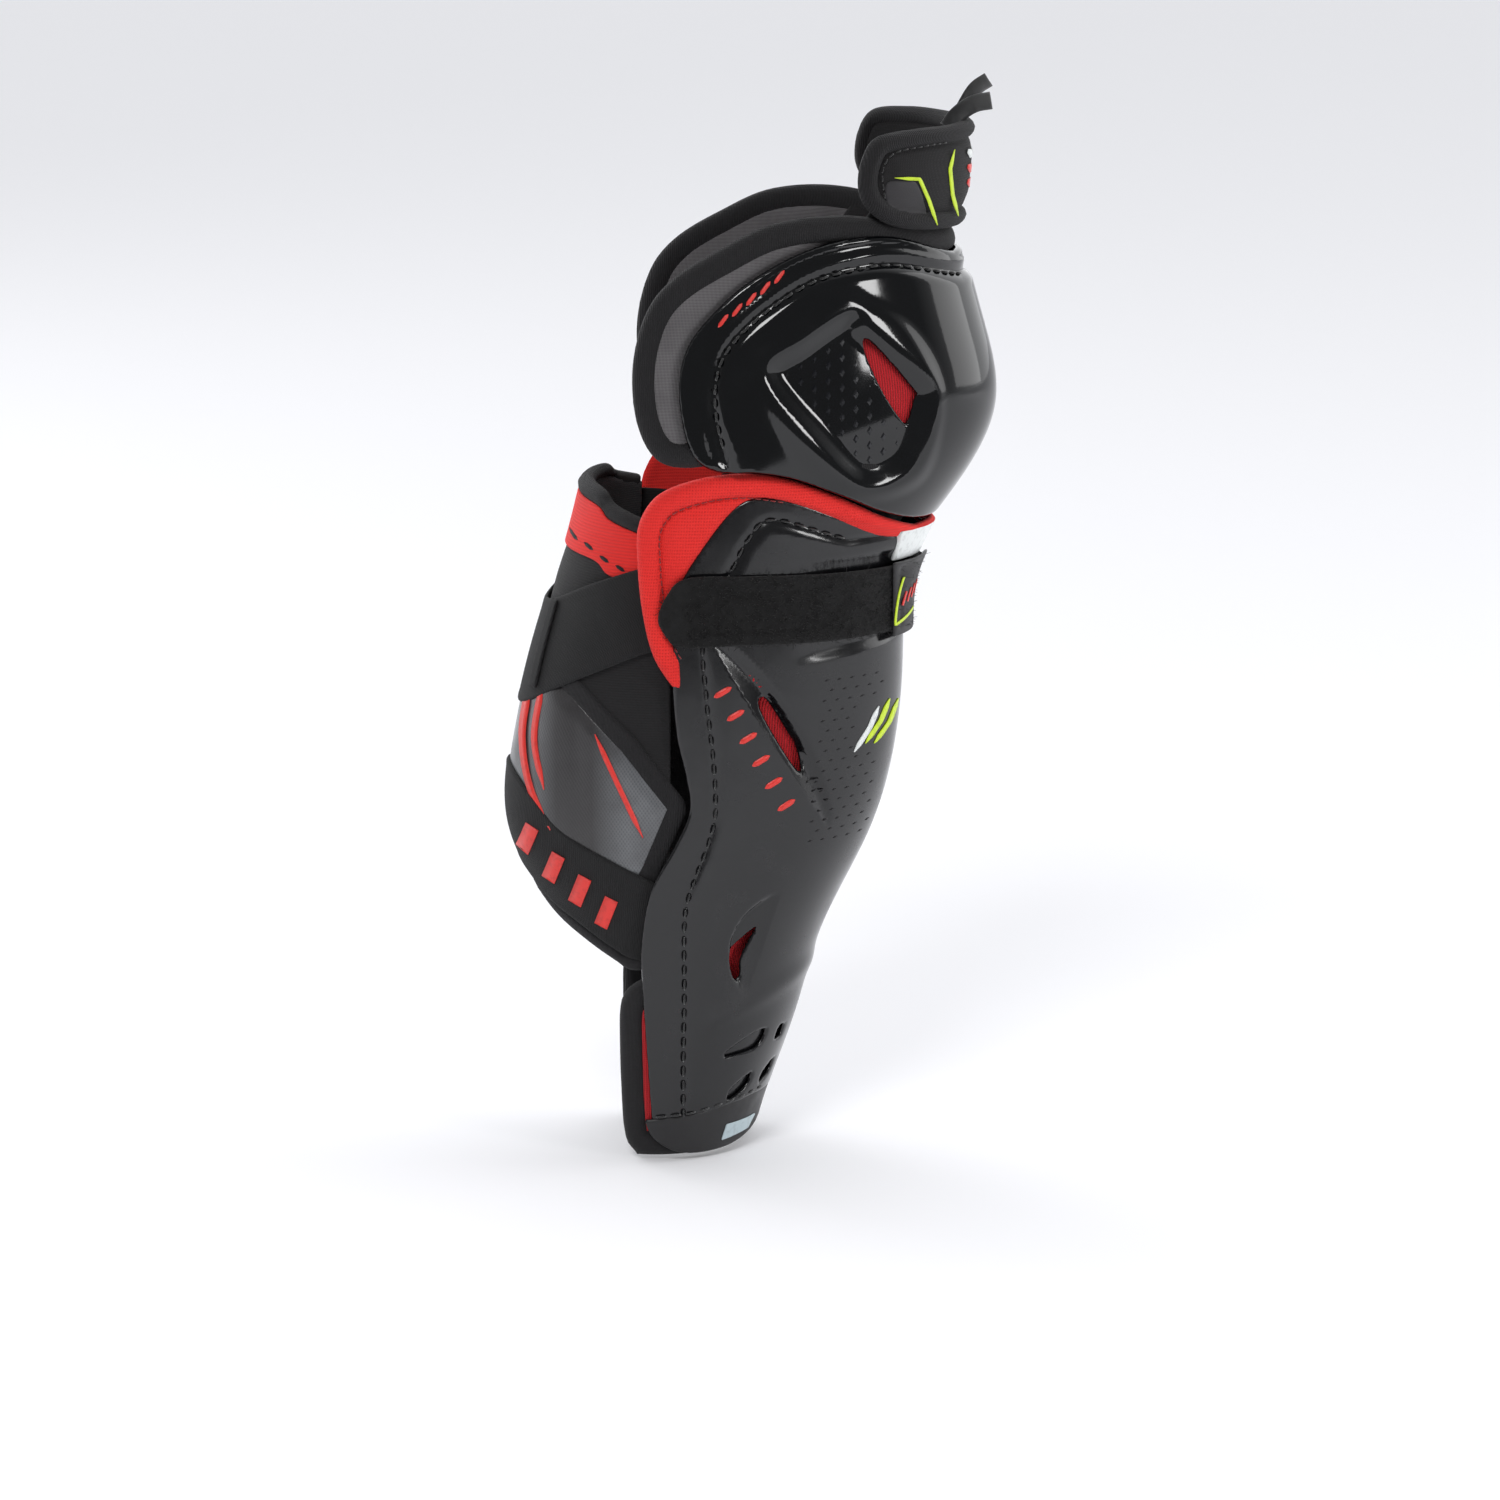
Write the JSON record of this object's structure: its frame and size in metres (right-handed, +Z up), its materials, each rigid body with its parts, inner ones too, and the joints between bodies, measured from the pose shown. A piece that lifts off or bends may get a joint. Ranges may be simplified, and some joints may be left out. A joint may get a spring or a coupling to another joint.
{
  "type": "hockey shin guard",
  "caption": "Right-leg ice hockey shin guard: hard shin shell and knee cap over padded liners, hinged thigh flap, and a calf wrap held by two elastic straps.",
  "frame": {"origin": "bottom of the leg channel, on its centre line", "axes": "+X to the wearer's toes, +Y to the inner side of the right leg, +Z up along the standing shin"},
  "size_m": [0.2201, 0.1522, 0.4827],
  "materials": {
    "shell_plastic": "satin dark grey moulded plastic",
    "gloss_shell": "high gloss black moulded plastic",
    "red_fabric": "coral red knitted fabric",
    "foam": "dark closed cell foam under brushed fabric",
    "binding_knit": "black ribbed stretch binding",
    "black_mesh": "black stretch fabric",
    "grey_mesh": "grey spacer mesh",
    "badge_plastic": "white printed film",
    "loop_pile": "black loop pile of a touch fastener",
    "elastic": "black woven elastic webbing",
    "ribbon": "black satin ribbon",
    "composite_plate": "grey woven composite sheet"
  },
  "bodies": {
    "shin": {"shin_shell": "shell_plastic", "ankle_tab_outer": "shell_plastic", "ankle_tab_inner": "shell_plastic", "shin_liner_cover": "red_fabric", "shin_foam": "foam", "liner_binding": "binding_knit", "wing_outer": "red_fabric", "wing_inner": "red_fabric", "wing_piping": "red_fabric", "knee_bridge": "black_mesh", "top_badge": "badge_plastic", "size_label": "badge_plastic", "landing_strip": "loop_pile", "upper_strap_tail": "elastic", "inner_loop_patch": "loop_pile", "lower_strap_tail": "elastic", "calf_seam_panel": "black_mesh"},
    "knee": {"knee_shell": "gloss_shell", "knee_pad": "red_fabric", "knee_liner": "grey_mesh", "knee_binding": "binding_knit", "knee_donut": "foam", "thigh_bridge": "black_mesh"},
    "thigh": {"thigh_cover": "black_mesh", "thigh_foam": "foam", "thigh_binding": "binding_knit", "thigh_patch_outer": "grey_mesh", "thigh_patch_inner": "grey_mesh", "pull_ribbon": "ribbon"},
    "calf": {"calf_plate": "composite_plate", "calf_plate_binding": "binding_knit", "calf_fabric": "black_mesh", "calf_top_band": "red_fabric", "calf_top_binding": "binding_knit", "calf_bottom_binding": "binding_knit", "calf_foam": "foam", "upper_strap": "elastic", "lower_strap": "elastic", "strap_keeper": "elastic"},
    "upper_tab": {"upper_tab": "elastic"},
    "lower_tab": {"lower_tab": "elastic"}
  },
  "joints": [
    {"name": "knee_flex", "type": "hinge", "parent": "shin", "child": "knee", "pos_m": [0, 0, 0.318], "axis": [0, -1, 0], "range_deg": [0, 35]},
    {"name": "thigh_flex", "type": "hinge", "parent": "knee", "child": "thigh", "pos_m": [0.095, 0, 0.424], "axis": [0, -1, 0], "range_deg": [0, 25]},
    {"name": "calf_open", "type": "hinge", "parent": "shin", "child": "calf", "pos_m": [-0.009, 0.06, 0.2], "axis": [0, 0, -1], "range_deg": [0, 70]},
    {"name": "upper_tab_peel", "type": "hinge", "parent": "shin", "child": "upper_tab", "pos_m": [0.121, -0.0005, 0.252], "axis": [0.1369, 0, 0.9906], "range_deg": [0, 60]},
    {"name": "lower_tab_peel", "type": "hinge", "parent": "shin", "child": "lower_tab", "pos_m": [0.0438, 0.056, 0.107], "axis": [0, 0, 1], "range_deg": [0, 60]}
  ]
}
